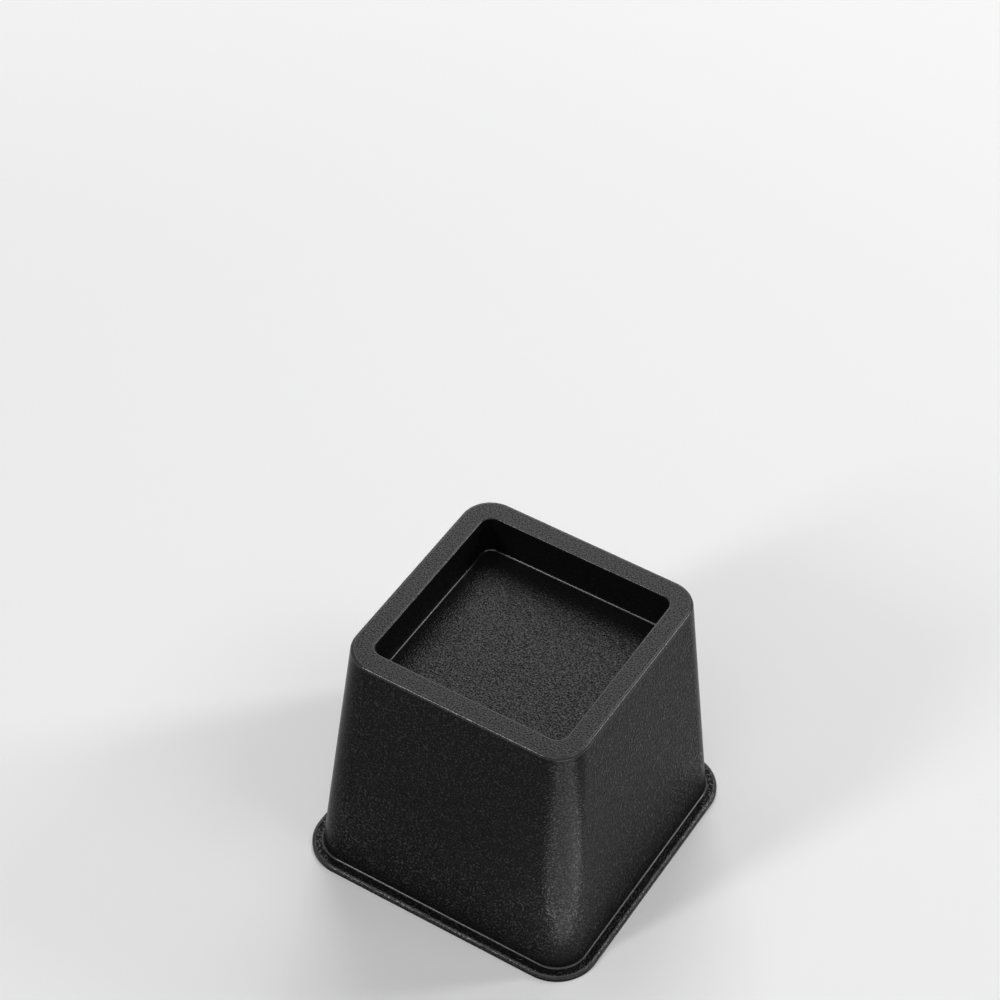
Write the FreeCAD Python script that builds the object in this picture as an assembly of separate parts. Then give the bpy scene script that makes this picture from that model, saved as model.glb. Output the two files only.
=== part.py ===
# A square bed riser, moulded in one piece: a drafted hollow block with a foot flange, a recess for
# the furniture leg in its top, and a lattice of stiffening ribs inside, open below.
# Millimetres. +Z is up, the floor is z = 0, and the origin is under the centre of the block.
import FreeCAD, Part
import math
import os

# Block: its outside, with widths measured across the flats
HEIGHT = 90.0
RIM_SIDE = 79.2
WALL_DRAFT_DEG = 4.62
CORNER_RADIUS = 10.0
RIM_EDGE_RADIUS = 1.0

# Shell: what is left of the block once it is hollowed from below
WALL_THICKNESS = 3.0
FLOOR_PLATE_THICKNESS = 4.0

# Foot flange
FLANGE_REACH = 3.53
FLANGE_THICKNESS = 2.1
FLANGE_CORNER_RADIUS = 14.0
FLANGE_EDGE_RADIUS = 1.1
FLANGE_ROOT_RADIUS = 0.5

# Recess that takes the furniture leg
RECESS_SIDE = 65.1
RECESS_DEPTH = 13.6
RECESS_DRAFT_DEG = 1.4
RECESS_CORNER_RADIUS = 3.6
RECESS_MOUTH_RADIUS = 0.6
RECESS_FLOOR_RADIUS = 0.5

# Ribs under the floor plate, the same set along X and along Y
RIB_COUNT = 2
RIB_PITCH = 28.0
RIB_EDGE_THICKNESS = 2.0
RIB_DRAFT_DEG = 0.5
RIB_FLOOR_GAP = 1.0

# How far apart two heights or widths may be and still count as the same one
SAME = 1e-4


def draft_run(rise, draft_deg):
    """How far a drafted face leans over a rise."""
    return rise * math.tan(math.radians(draft_deg))


# Levels and widths that follow from the driving dimensions
FOOT_SIDE = RIM_SIDE + 2 * draft_run(HEIGHT, WALL_DRAFT_DEG)
FLANGE_SIDE = FOOT_SIDE + 2 * FLANGE_REACH
FLANGE_ROOT_SIDE = FOOT_SIDE - 2 * draft_run(FLANGE_THICKNESS, WALL_DRAFT_DEG)
RECESS_FLOOR = HEIGHT - RECESS_DEPTH
CAVITY_ROOF = RECESS_FLOOR - FLOOR_PLATE_THICKNESS


def drafted_block(low_side, low_level, high_side, high_level, corner_radius):
    """Solid with four leaning flat sides between two level squares, its standing edges rounded."""
    low = low_side / 2
    high = high_side / 2
    block = Part.makeWedge(-low, low_level, -low, -high, -high, low, high_level, low, high, high)
    block.rotate(FreeCAD.Vector(0, 0, 0), FreeCAD.Vector(1, 0, 0), 90)
    standing = [edge for edge in block.Edges if edge.BoundBox.ZLength > SAME]
    return block.makeFillet(corner_radius, standing)


def edges_at(shape, level, side):
    """The edges of a shape that lie flat at a level, inside a square of that side."""
    found = []
    for edge in shape.Edges:
        box = edge.BoundBox
        flat = abs(box.ZMin - level) < SAME and abs(box.ZMax - level) < SAME
        reach = max(box.XMax, -box.XMin, box.YMax, -box.YMin)
        if flat and reach < side / 2 + SAME:
            found.append(edge)
    return found


def outer_block():
    """The block before it is hollowed, with the outer edge of its rim rounded."""
    block = drafted_block(FOOT_SIDE, 0, RIM_SIDE, HEIGHT, CORNER_RADIUS)
    return block.makeFillet(RIM_EDGE_RADIUS, edges_at(block, HEIGHT, RIM_SIDE))


def foot_flange():
    """The plate that stands out round the foot, with its upper edge rounded."""
    plate = drafted_block(FLANGE_SIDE, 0, FLANGE_SIDE, FLANGE_THICKNESS, FLANGE_CORNER_RADIUS)
    return plate.makeFillet(FLANGE_EDGE_RADIUS, edges_at(plate, FLANGE_THICKNESS, FLANGE_SIDE))


def leg_recess():
    """The space for the furniture leg, wider at its mouth, with its floor's edge rounded."""
    floor_side = RECESS_SIDE - 2 * draft_run(RECESS_DEPTH, RECESS_DRAFT_DEG)
    space = drafted_block(floor_side, RECESS_FLOOR, RECESS_SIDE, HEIGHT, RECESS_CORNER_RADIUS)
    return space.makeFillet(RECESS_FLOOR_RADIUS, edges_at(space, RECESS_FLOOR, floor_side))


def ribs():
    """Ribs along X and Y, thicker at their roots, long enough to pass right through the walls."""
    edge = RIB_EDGE_THICKNESS / 2
    root = edge + draft_run(CAVITY_ROOF - RIB_FLOOR_GAP, RIB_DRAFT_DEG)
    end = -FLANGE_SIDE / 2
    profile = [
        FreeCAD.Vector(-edge, end, RIB_FLOOR_GAP),
        FreeCAD.Vector(edge, end, RIB_FLOOR_GAP),
        FreeCAD.Vector(root, end, CAVITY_ROOF),
        FreeCAD.Vector(-root, end, CAVITY_ROOF),
    ]
    outline = Part.makePolygon(profile + profile[:1])
    blank = Part.Face(outline).extrude(FreeCAD.Vector(0, FLANGE_SIDE, 0))
    placed = []
    for index in range(RIB_COUNT):
        along_y = blank.copy()
        along_y.translate(FreeCAD.Vector((index - (RIB_COUNT - 1) / 2) * RIB_PITCH, 0, 0))
        along_x = along_y.copy()
        along_x.rotate(FreeCAD.Vector(0, 0, 0), FreeCAD.Vector(0, 0, 1), 90)
        placed += [along_y, along_x]
    return placed


def underside_cells():
    """The hollow below the floor plate, an even wall inside the block, divided into cells by the ribs."""
    low_side = FOOT_SIDE - 2 * WALL_THICKNESS
    high_side = low_side - 2 * draft_run(CAVITY_ROOF, WALL_DRAFT_DEG)
    inner_radius = CORNER_RADIUS - WALL_THICKNESS
    return drafted_block(low_side, 0, high_side, CAVITY_ROOF, inner_radius).cut(ribs())


def riser():
    """The whole riser, one moulded solid."""
    shape = outer_block().fuse(foot_flange())
    root = edges_at(shape, FLANGE_THICKNESS, FLANGE_ROOT_SIDE)
    shape = shape.makeFillet(FLANGE_ROOT_RADIUS, root)
    shape = shape.cut(leg_recess())
    mouth = edges_at(shape, HEIGHT, RECESS_SIDE)
    shape = shape.makeFillet(RECESS_MOUTH_RADIUS, mouth)
    shape = shape.cut(underside_cells())
    return shape.removeSplitter().Solids[0]


os.makedirs("parts", exist_ok=True)
riser().exportStep("parts/riser.step")
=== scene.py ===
"""Studio picture of a square bed riser, one black moulding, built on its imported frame.

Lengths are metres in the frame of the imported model: +Z is up and the floor is z = 0.
"""

from __future__ import annotations

import logging
import math
from collections.abc import Iterable
from dataclasses import dataclass
from enum import Enum
from typing import Any, Union

import bmesh
import bpy
from bmesh.types import BMEdge, BMesh, BMFace, BMVert
from mathutils import Matrix, Quaternion, Vector


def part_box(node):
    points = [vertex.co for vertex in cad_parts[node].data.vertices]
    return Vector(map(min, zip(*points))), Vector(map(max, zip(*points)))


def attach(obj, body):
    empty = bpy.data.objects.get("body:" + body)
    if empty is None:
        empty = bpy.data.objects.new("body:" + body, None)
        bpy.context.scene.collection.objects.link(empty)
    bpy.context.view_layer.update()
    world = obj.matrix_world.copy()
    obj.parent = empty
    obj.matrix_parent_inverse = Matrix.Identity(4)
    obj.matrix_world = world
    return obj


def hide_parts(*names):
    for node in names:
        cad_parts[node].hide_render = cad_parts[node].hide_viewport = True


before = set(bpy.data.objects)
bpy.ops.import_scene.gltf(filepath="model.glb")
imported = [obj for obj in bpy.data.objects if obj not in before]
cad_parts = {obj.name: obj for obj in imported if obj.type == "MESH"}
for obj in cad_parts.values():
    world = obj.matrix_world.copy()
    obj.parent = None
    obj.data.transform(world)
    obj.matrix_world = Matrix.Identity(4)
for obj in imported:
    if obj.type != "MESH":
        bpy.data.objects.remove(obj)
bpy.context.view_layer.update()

LOG = logging.getLogger("bed_riser")
MM = 0.001
WHITE = (1.0, 1.0, 1.0, 1.0)

# The signs of X and Y in the four quarters of a square
QUARTERS = ((-1, -1), (-1, 1), (1, -1), (1, 1))

# Points nearer to each other than this are one point
SAME_POINT = 1e-7

# A point this near to a rib's side is on it
ON_RIB_SIDE = 0.1 * MM

# The middle of what a noise texture gives
NOISE_MIDDLE = 0.5

# How far large faces outweigh small ones in the shading of a rounding, where 50 is even
LARGE_FACE_WEIGHT = 100


class Rounding(Enum):
    """What a rounding takes off: edges, or the corner points of a face."""

    EDGES = "EDGES"
    CORNERS = "VERTICES"


class GrainLayer(Enum):
    """The numbers that each face carries for its grain, under the names that the finish reads."""

    DEPTH = "grain_depth"
    COARSENESS = "grain_coarse"
    POLISH = "grain_polish"


class Surface(Enum):
    """The moulding's surfaces, as they take the mould's grain.

    The numbers are how deep the grain is there, how coarse, and how far the surface is polished.
    """

    RECESS_FLOOR = (0.85, 0.3, 0.21)
    RECESS_WALL = (0.9, 0.0, 0.0)
    RIM = (0.5, 0.0, 0.29)
    WALL = (1.0, 1.0, -0.06)
    FLANGE = (1.0, 0.5, 0.02)
    FLANGE_EDGE = (0.5, 0.5, 0.75)
    FLANGE_SIDE = (1.0, 0.5, 0.0)
    FOOT = (0.6, 0.0, 0.30)
    HOLLOW = (0.8, 0.5, 0.10)
    GRAINED_EDGE = (0.40, 0.3, 0.75)
    POLISHED_EDGE = (0.0, 0.0, 1.0)

    @property
    def depth(self) -> float:
        """How deep the grain is."""
        return self.value[0]

    @property
    def coarseness(self) -> float:
        """How coarse the grain is."""
        return self.value[1]

    @property
    def polish(self) -> float:
        """How far the surface is polished."""
        return self.value[2]


def scene_object(name: str, data: bpy.types.ID) -> bpy.types.Object:
    """Puts an object into the scene.

    Args:
        name: the object's name.
        data: its mesh, lamp or camera.

    Returns:
        The object.
    """
    made = bpy.data.objects.new(name, data)
    bpy.context.scene.collection.objects.link(made)
    return made


def mesh_object(name: str, mesh: BMesh) -> bpy.types.Object:
    """Puts a finished mesh into the scene.

    Args:
        name: the object's name.
        mesh: the mesh, which is freed.

    Returns:
        The mesh's object.
    """
    data = bpy.data.meshes.new(name)
    mesh.to_mesh(data)
    mesh.free()
    return scene_object(name, data)


def area_lamp(name: str, width: float, height: float, radiance: float) -> bpy.types.Object:
    """Puts a rectangular lamp into the scene, which the camera doesn't see itself.

    Args:
        name: the lamp's name.
        width: size along its own X.
        height: size along its own Y.
        radiance: how bright its face is.

    Returns:
        The lamp's object.
    """
    lamp = bpy.data.lights.new(name, "AREA")
    lamp.shape = "RECTANGLE"
    lamp.size = width
    lamp.size_y = height
    lamp.energy = radiance * math.pi * width * height
    holder = scene_object(name, lamp)
    holder.visible_camera = False
    return holder


def round_off(mesh: BMesh, geom: list[Any], kind: Rounding, radius: float, steps: int) -> list[BMFace]:
    """Rounds off edges or corner points.

    Args:
        mesh: the mesh that they are in.
        geom: the edges or the points.
        kind: which of the two they are.
        radius: radius of the rounding.
        steps: how many steps the rounding has.

    Returns:
        The faces of the rounding.
    """
    made = bmesh.ops.bevel(
        mesh,
        geom=geom,
        offset=radius,
        offset_type="OFFSET",
        affect=kind.value,
        segments=steps,
        profile=0.5,
        material=-1,
    )
    return made["faces"]


class GrainMap:
    """The grain of each face, kept in the mesh for the finish to read."""

    def __init__(self, mesh: BMesh) -> None:
        """Adds the grain's layers to a mesh.

        Args:
            mesh: the mesh.
        """
        layers = mesh.faces.layers.float
        self.depth = layers.new(GrainLayer.DEPTH.value)
        self.coarseness = layers.new(GrainLayer.COARSENESS.value)
        self.polish = layers.new(GrainLayer.POLISH.value)

    def label(self, faces: Iterable[BMFace], surface: Surface) -> None:
        """Says which surface some faces are.

        Args:
            faces: the faces.
            surface: the surface that they are.
        """
        for face in faces:
            face[self.depth] = surface.depth
            face[self.coarseness] = surface.coarseness
            face[self.polish] = surface.polish

    def wear_corners(self, faces: Iterable[BMFace], wear: float, polish: float) -> None:
        """Makes the grain shallower and the surface more polished, most of all mid-way round a corner.

        Args:
            faces: the faces, whose normals are right.
            wear: the share of its depth that the grain loses there.
            polish: how much more the surface is polished there.
        """
        for face in faces:
            corner = abs(2 * face.normal.x * face.normal.y)
            face[self.depth] *= 1 - wear * corner
            face[self.polish] += polish * corner


@dataclass(frozen=True)
class RoundedSquare:
    """A level square with round corners.

    Attributes:
        half: half the width across the flats.
        radius: radius of the corners.
        level: height above the floor.
    """

    half: float
    radius: float
    level: float

    @property
    def arc_centre(self) -> float:
        """How far out along X and Y the centres of the corner arcs stand."""
        return self.half - self.radius

    def start(self, mesh: BMesh, segments: int) -> list[BMEdge]:
        """Makes the square as one face.

        Args:
            mesh: the empty mesh to begin.
            segments: how many edges round each corner.

        Returns:
            The edges round the face.
        """
        bmesh.ops.create_grid(mesh, x_segments=1, y_segments=1, size=self.half)
        bmesh.ops.translate(mesh, vec=(0, 0, self.level), verts=mesh.verts[:])
        round_off(mesh, mesh.verts[:], Rounding.CORNERS, self.radius, segments)
        return mesh.edges[:]

    def carry(self, mesh: BMesh, verts: list[BMVert], to: RoundedSquare) -> None:
        """Moves a ring of points from this square to another.

        Args:
            mesh: the mesh that the points are in.
            verts: the ring's points, which lie on this square.
            to: the square that they go to.
        """
        growth = to.radius / self.radius
        step = to.arc_centre - self.arc_centre
        rise = to.level - self.level
        for x_side, y_side in QUARTERS:
            quarter = [v for v in verts if v.co.x * x_side > 0 and v.co.y * y_side > 0]
            centre = Vector((x_side * self.arc_centre, y_side * self.arc_centre, self.level))
            bmesh.ops.scale(mesh, vec=(growth, growth, 1), space=Matrix.Translation(-centre), verts=quarter)
            bmesh.ops.translate(mesh, vec=(x_side * step, y_side * step, rise), verts=quarter)


@dataclass(frozen=True)
class Station:
    """One stop on the way over the shell, from the recess floor out and down to the ribs.

    Attributes:
        square: its outline.
        surface: the surface that leads to it.
        radius: the radius that rounds it.
        rounding: the surface that the rounding is.
    """

    square: RoundedSquare
    surface: Surface
    radius: float
    rounding: Surface


@dataclass
class RiserShell:
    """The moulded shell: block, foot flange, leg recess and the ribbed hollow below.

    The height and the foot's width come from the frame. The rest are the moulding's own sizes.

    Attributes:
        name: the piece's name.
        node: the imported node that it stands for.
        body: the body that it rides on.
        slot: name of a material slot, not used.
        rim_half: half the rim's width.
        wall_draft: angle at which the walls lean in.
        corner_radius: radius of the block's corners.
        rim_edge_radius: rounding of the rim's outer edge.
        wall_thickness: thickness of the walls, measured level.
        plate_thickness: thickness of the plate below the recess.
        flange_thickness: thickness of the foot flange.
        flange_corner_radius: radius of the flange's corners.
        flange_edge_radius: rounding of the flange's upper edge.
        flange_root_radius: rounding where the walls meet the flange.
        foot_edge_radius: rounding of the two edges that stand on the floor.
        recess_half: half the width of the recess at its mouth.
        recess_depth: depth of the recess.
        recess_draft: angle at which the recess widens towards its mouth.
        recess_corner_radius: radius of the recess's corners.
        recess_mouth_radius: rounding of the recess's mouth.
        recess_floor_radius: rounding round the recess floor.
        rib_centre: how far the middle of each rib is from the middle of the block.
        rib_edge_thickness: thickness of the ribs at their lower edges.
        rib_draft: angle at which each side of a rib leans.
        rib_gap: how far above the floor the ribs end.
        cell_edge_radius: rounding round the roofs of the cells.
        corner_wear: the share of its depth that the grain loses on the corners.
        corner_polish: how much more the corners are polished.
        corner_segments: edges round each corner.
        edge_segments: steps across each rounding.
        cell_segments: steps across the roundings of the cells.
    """

    name: str = "riser_moulding"
    node: str = "riser"
    body: str = "root"
    slot: str = "body"
    rim_half: float = 39.6 * MM
    wall_draft: float = math.radians(4.62)
    corner_radius: float = 10.0 * MM
    rim_edge_radius: float = 1.0 * MM
    wall_thickness: float = 3.0 * MM
    plate_thickness: float = 4.0 * MM
    flange_thickness: float = 2.1 * MM
    flange_corner_radius: float = 14.0 * MM
    flange_edge_radius: float = 1.1 * MM
    flange_root_radius: float = 0.5 * MM
    foot_edge_radius: float = 0.2 * MM
    recess_half: float = 32.55 * MM
    recess_depth: float = 13.6 * MM
    recess_draft: float = math.radians(1.4)
    recess_corner_radius: float = 3.6 * MM
    recess_mouth_radius: float = 0.6 * MM
    recess_floor_radius: float = 0.5 * MM
    rib_centre: float = 14.0 * MM
    rib_edge_thickness: float = 2.0 * MM
    rib_draft: float = math.radians(0.5)
    rib_gap: float = 1.0 * MM
    cell_edge_radius: float = 0.5 * MM
    corner_wear: float = 0.82
    corner_polish: float = 0.10
    corner_segments: int = 24
    edge_segments: int = 5
    cell_segments: int = 3

    def __post_init__(self) -> None:
        """Takes the height and the foot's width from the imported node."""
        _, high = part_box(self.node)
        self.height: float = high.z
        self.foot_half: float = high.x
        self.recess_floor: float = self.height - self.recess_depth
        self.hollow_roof: float = self.recess_floor - self.plate_thickness

    @property
    def rib_sides(self) -> tuple[float, float]:
        """How far from the middle the inner and the outer side of a rib's lower edge are."""
        half = self.rib_edge_thickness / 2
        return self.rib_centre - half, self.rib_centre + half

    def wall_half(self, level: float) -> float:
        """Half the block's width at a level."""
        return self.rim_half + (self.height - level) * math.tan(self.wall_draft)

    def stations(self) -> list[Station]:
        """Lists the stations from the recess floor out over the rim and down to the ribs.

        Returns:
            The stations in order.
        """
        floor_half = self.recess_half - self.recess_depth * math.tan(self.recess_draft)
        root_half = self.wall_half(self.flange_thickness)
        hollow_half = self.wall_half(0.0) - self.wall_thickness
        lattice_half = self.wall_half(self.rib_gap) - self.wall_thickness
        inner_radius = self.corner_radius - self.wall_thickness

        recess_floor = RoundedSquare(floor_half, self.recess_corner_radius, self.recess_floor)
        recess_mouth = RoundedSquare(self.recess_half, self.recess_corner_radius, self.height)
        rim = RoundedSquare(self.rim_half, self.corner_radius, self.height)
        flange_root = RoundedSquare(root_half, self.corner_radius, self.flange_thickness)
        flange_top = RoundedSquare(self.foot_half, self.flange_corner_radius, self.flange_thickness)
        flange_foot = RoundedSquare(self.foot_half, self.flange_corner_radius, 0.0)
        hollow_mouth = RoundedSquare(hollow_half, inner_radius, 0.0)
        lattice = RoundedSquare(lattice_half, inner_radius, self.rib_gap)

        polished, grained = Surface.POLISHED_EDGE, Surface.GRAINED_EDGE
        return [
            Station(recess_floor, Surface.RECESS_FLOOR, self.recess_floor_radius, polished),
            Station(recess_mouth, Surface.RECESS_WALL, self.recess_mouth_radius, grained),
            Station(rim, Surface.RIM, self.rim_edge_radius, grained),
            Station(flange_root, Surface.WALL, self.flange_root_radius, polished),
            Station(flange_top, Surface.FLANGE, self.flange_edge_radius, Surface.FLANGE_EDGE),
            Station(flange_foot, Surface.FLANGE_SIDE, self.foot_edge_radius, polished),
            Station(hollow_mouth, Surface.FOOT, self.foot_edge_radius, polished),
            Station(lattice, Surface.HOLLOW, 0.0, polished),
        ]

    def build(self) -> bpy.types.Object:
        """Builds the shell as one closed mesh.

        Returns:
            The finished object, linked to the scene.
        """
        mesh = bmesh.new()
        grain = GrainMap(mesh)
        lattice = self.draw_shell(mesh, grain)
        self.sink_cells(mesh, self.cut_cells(mesh, lattice))
        bmesh.ops.remove_doubles(mesh, verts=mesh.verts[:], dist=SAME_POINT)
        bmesh.ops.recalc_face_normals(mesh, faces=mesh.faces[:])
        for face in mesh.faces:
            face.smooth = True
        grain.wear_corners(mesh.faces, self.corner_wear, self.corner_polish)
        piece = mesh_object(self.name, mesh)
        weighted = piece.modifiers.new("even_normals", "WEIGHTED_NORMAL")
        weighted.mode = "FACE_AREA_WITH_ANGLE"
        weighted.weight = LARGE_FACE_WEIGHT
        return piece

    def draw_shell(self, mesh: BMesh, grain: GrainMap) -> BMFace:
        """Draws the shell from station to station and rounds its edges.

        Args:
            mesh: the empty mesh to begin.
            grain: the mesh's grain.

        Returns:
            The level face at the ribs' lower edges, which closes the shell.
        """
        stations = self.stations()
        ring = stations[0].square.start(mesh, self.corner_segments)
        grain.label(mesh.faces, stations[0].surface)
        rings = [ring]
        for before, after in zip(stations, stations[1:]):
            made = bmesh.ops.extrude_edge_only(mesh, edges=ring)["geom"]
            verts = [g for g in made if isinstance(g, BMVert)]
            fresh = set(verts)
            ring = [g for g in made if isinstance(g, BMEdge) and fresh.issuperset(g.verts)]
            before.square.carry(mesh, verts, after.square)
            grain.label([g for g in made if isinstance(g, BMFace)], after.surface)
            rings.append(ring)
        lattice = bmesh.ops.contextual_create(mesh, geom=ring)["faces"]
        grain.label(lattice, Surface.HOLLOW)
        for station, edges in zip(stations, rings):
            if station.radius > 0:
                faces = round_off(mesh, edges, Rounding.EDGES, station.radius, self.edge_segments)
                grain.label(faces, station.rounding)
        return lattice[0]

    def cut_cells(self, mesh: BMesh, lattice: BMFace) -> list[BMFace]:
        """Cuts the ribs' lower edges into the underside.

        Args:
            mesh: the shell so far.
            lattice: the level face at the ribs' lower edges.

        Returns:
            The faces between the ribs, which are the mouths of the cells.
        """
        near, far = self.rib_sides
        faces = [lattice]
        for axis in (Vector((1, 0, 0)), Vector((0, 1, 0))):
            for place in (-far, -near, near, far):
                edges = {e for f in faces for e in f.edges}
                verts = {v for f in faces for v in f.verts}
                cut = bmesh.ops.bisect_plane(
                    mesh,
                    geom=[*verts, *edges, *faces],
                    dist=SAME_POINT,
                    plane_co=axis * place,
                    plane_no=axis,
                )["geom"]
                faces = [g for g in cut if isinstance(g, BMFace)]
        cells = []
        for face in faces:
            middle = face.calc_center_bounds()
            if not any(near < abs(c) < far for c in middle.xy):
                cells.append(face)
        return cells

    def sink_cells(self, mesh: BMesh, cells: list[BMFace]) -> None:
        """Draws the cells up to the roof of the hollow, with leaning sides and rounded roofs.

        Args:
            mesh: the shell so far.
            cells: the mouths of the cells.
        """
        near, far = self.rib_sides
        rise = self.hollow_roof - self.rib_gap
        wall_lean = rise * math.tan(self.wall_draft)
        rib_lean = rise * math.tan(self.rib_draft)
        beyond_ribs = (self.rib_centre + self.rim_half) / 2
        tops = bmesh.ops.extrude_discrete_faces(mesh, faces=cells)["faces"]
        roof = [v for f in tops for v in f.verts]
        bmesh.ops.translate(mesh, vec=(0, 0, rise), verts=roof)
        for axis in range(2):
            for side in (-1, 1):
                groups = (
                    ([v for v in roof if side * v.co[axis] > beyond_ribs], -wall_lean),
                    ([v for v in roof if abs(side * v.co[axis] - near) < ON_RIB_SIDE], -rib_lean),
                    ([v for v in roof if abs(side * v.co[axis] - far) < ON_RIB_SIDE], rib_lean),
                )
                for group, lean in groups:
                    shift = Vector((0, 0, 0))
                    shift[axis] = side * lean
                    bmesh.ops.translate(mesh, vec=shift, verts=group)
        roof_edges = {e for f in tops for e in f.edges}
        round_off(mesh, list(roof_edges), Rounding.EDGES, self.cell_edge_radius, self.cell_segments)

    def dress(self, piece: bpy.types.Object, finish: MouldedPlastic) -> None:
        """Gives the shell its finish and its place in the frame.

        Args:
            piece: the shell's object.
            finish: the finish that it takes.
        """
        piece.data.materials.append(finish.material())
        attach(piece, self.body)
        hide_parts(self.node)


class Signal:
    """A shader socket that takes part in Python arithmetic, where each operator adds a Math node."""

    def __init__(self, graph: ShaderGraph, socket: bpy.types.NodeSocket) -> None:
        """Keeps the socket and the graph that it is in."""
        self.graph = graph
        self.socket = socket

    def __add__(self, other: Value) -> Signal:
        """Sum."""
        return self.graph.math("ADD", self, other)

    def __sub__(self, other: Value) -> Signal:
        """Difference."""
        return self.graph.math("SUBTRACT", self, other)

    def __rsub__(self, other: Value) -> Signal:
        """Difference from a number."""
        return self.graph.math("SUBTRACT", other, self)

    def __mul__(self, other: Value) -> Signal:
        """Product."""
        return self.graph.math("MULTIPLY", self, other)

    __radd__ = __add__
    __rmul__ = __mul__


Value = Union[Signal, float, tuple]
Key = Union[str, int]


class ShaderGraph:
    """The nodes of one material or of the world."""

    def __init__(self, owner: Union[bpy.types.Material, bpy.types.World]) -> None:
        """Empties the node tree of a material or a world, to be filled anew.

        Args:
            owner: the material or the world.
        """
        owner.use_nodes = True
        self.tree = owner.node_tree
        self.tree.nodes.clear()

    def node(self, kind: str, settings: dict[str, Any], inputs: dict[Key, Value], out: Key = 0) -> Signal:
        """Adds a node.

        Args:
            kind: the node's type.
            settings: the node's own settings, which are set first.
            inputs: numbers or links for its sockets, by name or index.
            out: name or index of the socket that is wanted from it.

        Returns:
            The socket that is wanted, or nothing in its place for a node that ends a graph.
        """
        made = self.tree.nodes.new(kind)
        for key, value in settings.items():
            setattr(made, key, value)
        for key, value in inputs.items():
            if isinstance(value, Signal):
                self.tree.links.new(value.socket, made.inputs[key])
            else:
                made.inputs[key].default_value = value
        return Signal(self, made.outputs[out] if len(made.outputs) else None)

    def math(self, operation: str, *terms: Value) -> Signal:
        """Adds a Math node."""
        return self.node("ShaderNodeMath", {"operation": operation}, dict(enumerate(terms)))

    def place(self) -> Signal:
        """Object coordinates."""
        return self.node("ShaderNodeTexCoord", {}, {}, "Object")

    def attribute(self, layer: GrainLayer) -> Signal:
        """A number that the mesh's faces carry."""
        return self.node("ShaderNodeAttribute", {"attribute_name": layer.value}, {}, "Fac")

    def ramp(self, value: Signal, start: float, end: float) -> Signal:
        """Rises smoothly from 0 to 1 as a value goes from one number to another."""
        inputs = {"Value": value, "From Min": start, "From Max": end}
        return self.node("ShaderNodeMapRange", {"interpolation_type": "SMOOTHSTEP"}, inputs)

    def noise(self, place: Signal, size: float, detail: float) -> Signal:
        """Cloudy noise whose blobs are about that size across."""
        inputs = {"Vector": place, "Scale": 1 / size, "Detail": detail}
        return self.node("ShaderNodeTexNoise", {}, inputs, "Fac")

    def seen(self) -> Signal:
        """Tells rays that see a surface from rays that it only lights.

        Returns:
            1 where the surface is seen, straight, in a reflection or through glass, and 0 elsewhere.
        """
        kinds = ("Is Camera Ray", "Is Glossy Ray", "Is Transmission Ray")
        straight, reflected, through = [self.node("ShaderNodeLightPath", {}, {}, kind) for kind in kinds]
        return straight + reflected + through


@dataclass(frozen=True)
class Skin:
    """How the plastic takes the light where it is polished, or where it is dull.

    Attributes:
        colour: its colour.
        roughness: its roughness.
        ior: its index of refraction, which sets how much it shines.
    """

    colour: tuple[float, ...]
    roughness: float
    ior: float

    def shader(self, graph: ShaderGraph, normal: Signal) -> Signal:
        """Adds the skin's shader to a graph."""
        inputs = {"Base Color": self.colour, "Roughness": self.roughness, "IOR": self.ior, "Normal": normal}
        return graph.node("ShaderNodeBsdfPrincipled", {}, inputs)


@dataclass(frozen=True)
class MouldedPlastic:
    """Black plastic from a grained mould.

    Attributes:
        name: the material's name.
        polished: the skin where the surface is polished, as on smooth edges.
        dull: the skin where it isn't.
        fine: size across of the fine grain.
        coarse: size across of the coarse grain.
        detail: how many finer layers of noise lie over each grain.
        relief: how deep the grain is.
        speckle: how much more the grain's crests are polished than its hollows.
        foot_zone: the levels between which the grain deepens towards the foot.
        foot_depth: how much deeper the grain is at the foot.
        foot_polish: how much more the surface is polished at the foot.
    """

    name: str = "black_moulded_plastic"
    polished: Skin = Skin((0.008, 0.008, 0.008, 1), 0.21, 1.44)
    dull: Skin = Skin((0.006, 0.006, 0.006, 1), 0.27, 1.095)
    fine: float = 0.50 * MM
    coarse: float = 0.62 * MM
    detail: float = 0.6
    relief: float = 0.20 * MM
    speckle: float = 2.2
    foot_zone: tuple[float, float] = (3.0 * MM, 45.0 * MM)
    foot_depth: float = 1.2
    foot_polish: float = 0.07

    def material(self) -> bpy.types.Material:
        """Builds the shader.

        Returns:
            The material.
        """
        material = bpy.data.materials.new(self.name)
        graph = ShaderGraph(material)
        place = graph.place()
        level = graph.node("ShaderNodeSeparateXYZ", {}, {0: place}, "Z")
        foot = 1 - graph.ramp(level, *self.foot_zone)
        depth = graph.attribute(GrainLayer.DEPTH) * (1 + foot * self.foot_depth)
        coarseness = graph.attribute(GrainLayer.COARSENESS)
        polish = graph.attribute(GrainLayer.POLISH) + foot * self.foot_polish
        fine = graph.noise(place, self.fine, self.detail)
        coarse = graph.noise(place, self.coarse, self.detail)
        grain = fine + (coarse - fine) * coarseness
        shine = polish + (grain - NOISE_MIDDLE) * self.speckle * depth
        relief = {"Strength": 1.0, "Distance": self.relief, "Height": grain * depth}
        normal = graph.node("ShaderNodeBump", {}, relief)
        dull = self.dull.shader(graph, normal)
        polished = self.polished.shader(graph, normal)
        shader = graph.node("ShaderNodeMixShader", {}, {0: shine, 1: dull, 2: polished})
        graph.node("ShaderNodeOutputMaterial", {}, {"Surface": shader})
        return material


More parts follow.
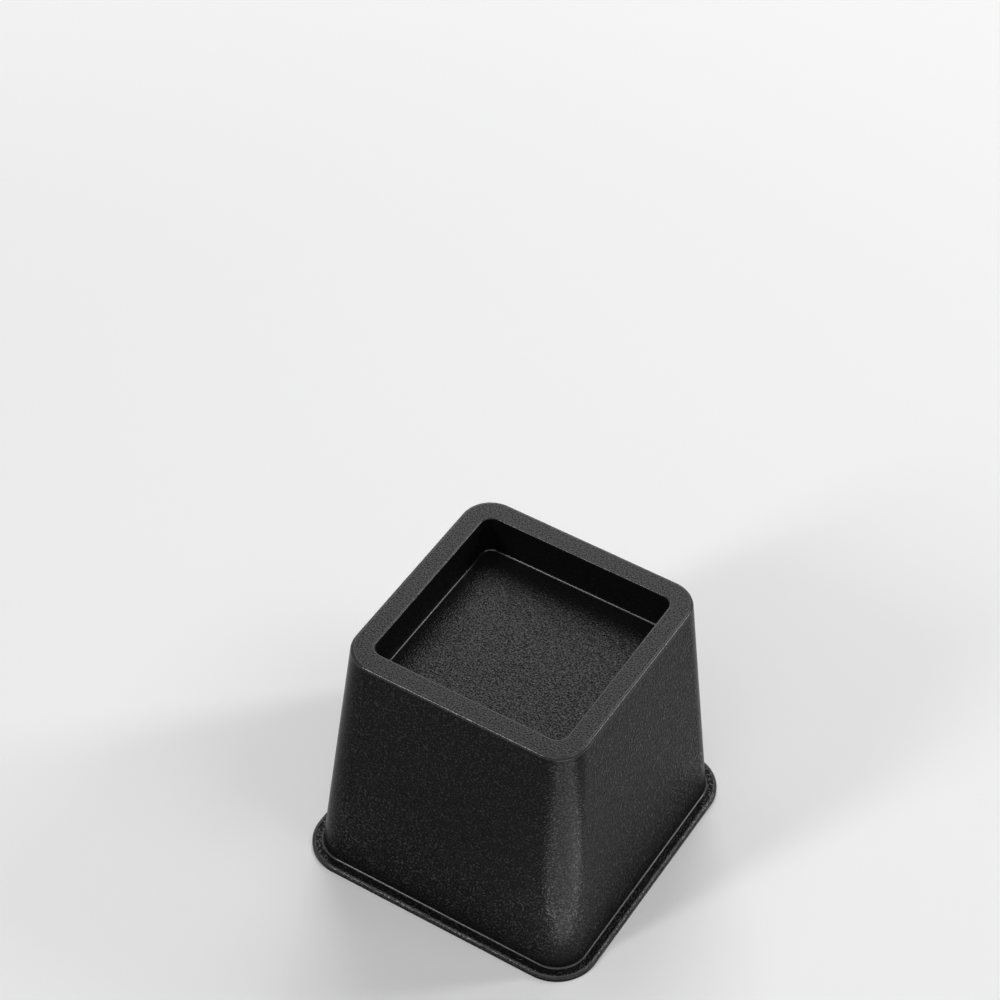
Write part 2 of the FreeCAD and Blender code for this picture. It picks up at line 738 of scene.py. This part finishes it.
@dataclass(frozen=True)
class WhitePaint:
    """Matt white of the studio floor, which fades to plain white far from the object.

    Attributes:
        name: the material's name.
        colour: its colour.
        fade: how far out the plain white starts, and where it is full.
    """

    name: str = "studio_white"
    colour: tuple[float, ...] = (0.9, 0.9, 0.9, 1)
    fade: tuple[float, float] = (0.25, 0.8)

    def material(self) -> bpy.types.Material:
        """Builds the shader.

        Returns:
            The material.
        """
        material = bpy.data.materials.new(self.name)
        graph = ShaderGraph(material)
        reach = graph.node("ShaderNodeVectorMath", {"operation": "LENGTH"}, {0: graph.place()}, "Value")
        far = graph.ramp(reach, *self.fade)
        paint = graph.node("ShaderNodeBsdfDiffuse", {}, {"Color": self.colour})
        plain = graph.node("ShaderNodeEmission", {}, {"Color": WHITE, "Strength": 1.0})
        shader = graph.node("ShaderNodeMixShader", {}, {0: far * graph.seen(), 1: paint, 2: plain})
        graph.node("ShaderNodeOutputMaterial", {}, {"Surface": shader})
        return material


@dataclass(frozen=True)
class Softbox:
    """A soft lamp that faces the object.

    Attributes:
        name: the lamp's name.
        azimuth: direction from the object, degrees from +X towards +Y.
        elevation: degrees above the floor.
        width: size across.
        height: size up and down.
        radiance: how bright its face is.
        distance: how far it stands from the object.
    """

    name: str
    azimuth: float
    elevation: float
    width: float
    height: float
    radiance: float
    distance: float = 1.5

    def hang(self, target: Vector) -> None:
        """Puts the lamp up.

        Args:
            target: the point that it faces.
        """
        holder = area_lamp(self.name, self.width, self.height, self.radiance)
        az, el = math.radians(self.azimuth), math.radians(self.elevation)
        outward = Vector((math.cos(el) * math.cos(az), math.cos(el) * math.sin(az), math.sin(el)))
        holder.location = target + outward * self.distance
        holder.rotation_mode = "QUATERNION"
        holder.rotation_quaternion = outward.to_track_quat("Z", "Y")


@dataclass(frozen=True)
class LowPanel:
    """A lit panel that lies on the floor, out of the picture, for the sheen of the near corner.

    Attributes:
        name: the lamp's name.
        azimuth: direction from the object, degrees from +X towards +Y.
        reach: how far its middle lies from the object's middle.
        length: size away from the object.
        width: size across.
        radiance: how bright its face is.
        lift: how far it lies above the floor.
    """

    name: str
    azimuth: float
    reach: float
    length: float
    width: float
    radiance: float
    lift: float = 1.0 * MM

    def lay(self) -> None:
        """Puts the panel down, facing up."""
        holder = area_lamp(self.name, self.length, self.width, self.radiance)
        az = math.radians(self.azimuth)
        holder.location = (self.reach * math.cos(az), self.reach * math.sin(az), self.lift)
        holder.rotation_euler = (math.pi, 0, az)


@dataclass
class Studio:
    """The white floor, the lamps and the camera.

    Attributes:
        floor_half: half the floor's width.
        floor_level: height of the floor, a hair below the foot so that the two don't meet.
        ambience: how much the white room lights what stands in it.
        lamps: the soft lamps.
        low_panel: the panel on the floor.
        camera_place: where the camera stands.
        camera_aim: the point on the floor that is in the middle of the picture.
        camera_roll: how far the camera is turned about its line of sight, in degrees.
        lens: focal length, in millimetres.
        sensor: width of the sensor, in millimetres.
        clip: how near and how far the camera sees.
    """

    floor_half: float = 4.0
    floor_level: float = -0.05 * MM
    ambience: float = 0.1
    lamps: tuple[Softbox, ...] = (
        Softbox("key_softbox", 120.0, 42.0, 0.75, 0.95, 3.7),
        Softbox("back_strip", 86.0, 54.0, 0.30, 0.40, 3.6),
        Softbox("top_softbox", -172.0, 68.0, 0.45, 0.45, 1.8),
        Softbox("left_strip", -115.0, 33.0, 0.20, 0.50, 20.0),
        Softbox("right_strip", 44.0, 31.0, 0.20, 0.60, 15.0),
        Softbox("front_fill", -75.0, 66.0, 0.80, 0.80, 1.9),
        Softbox("side_fill", 5.0, 55.0, 0.60, 0.60, 3.0),
    )
    low_panel: LowPanel = LowPanel("front_low_panel", -39.0, 135.0 * MM, 120.0 * MM, 110.0 * MM, 5.8)
    camera_place: tuple[float, float, float] = (0.292646, -0.511091, 0.748793)
    camera_aim: tuple[float, float, float] = (-77.29 * MM, 115.26 * MM, 0.0)
    camera_roll: float = 1.596
    lens: float = 107.596
    sensor: float = 36.0
    clip: tuple[float, float] = (0.01, 50.0)

    def lay_floor(self) -> bpy.types.Object:
        """Lays the floor.

        Returns:
            The floor's object.
        """
        mesh = bmesh.new()
        bmesh.ops.create_grid(mesh, x_segments=1, y_segments=1, size=self.floor_half)
        bmesh.ops.translate(mesh, vec=(0, 0, self.floor_level), verts=mesh.verts[:])
        floor = mesh_object("studio_floor", mesh)
        floor.data.materials.append(WhitePaint().material())
        return floor

    def light(self, target: Vector) -> None:
        """Puts up the lamps and the even light of the room.

        Args:
            target: the point that the lamps face.
        """
        world = bpy.data.worlds.new("studio_room")
        graph = ShaderGraph(world)
        strength = self.ambience + graph.seen() * (1 - self.ambience)
        sky = graph.node("ShaderNodeBackground", {}, {"Color": WHITE, "Strength": strength})
        graph.node("ShaderNodeOutputWorld", {}, {"Surface": sky})
        bpy.context.scene.world = world
        for lamp in self.lamps:
            lamp.hang(target)
        self.low_panel.lay()

    def set_camera(self) -> None:
        """Sets the camera at the photograph's viewing angle."""
        data = bpy.data.cameras.new("studio_camera")
        data.sensor_width = self.sensor
        data.lens = self.lens
        data.clip_start, data.clip_end = self.clip
        camera = scene_object("studio_camera", data)
        place, aim = Vector(self.camera_place), Vector(self.camera_aim)
        roll = Quaternion((0, 0, 1), math.radians(self.camera_roll))
        turn = (place - aim).to_track_quat("Z", "Y") @ roll
        camera.matrix_world = Matrix.Translation(place) @ turn.to_matrix().to_4x4()
        bpy.context.scene.camera = camera


def main() -> None:
    """Builds the riser and the studio."""
    logging.basicConfig(level=logging.INFO, format="%(name)s: %(message)s")
    shell = RiserShell()
    piece = shell.build()
    shell.dress(piece, MouldedPlastic())
    LOG.info("%s: %d faces", piece.name, len(piece.data.polygons))
    studio = Studio()
    floor = studio.lay_floor()
    LOG.info("%s: stage", floor.name)
    studio.light(Vector((0, 0, shell.height / 2)))
    studio.set_camera()
    bpy.context.scene.view_settings.view_transform = "Standard"


if __name__ == "__main__":
    main()
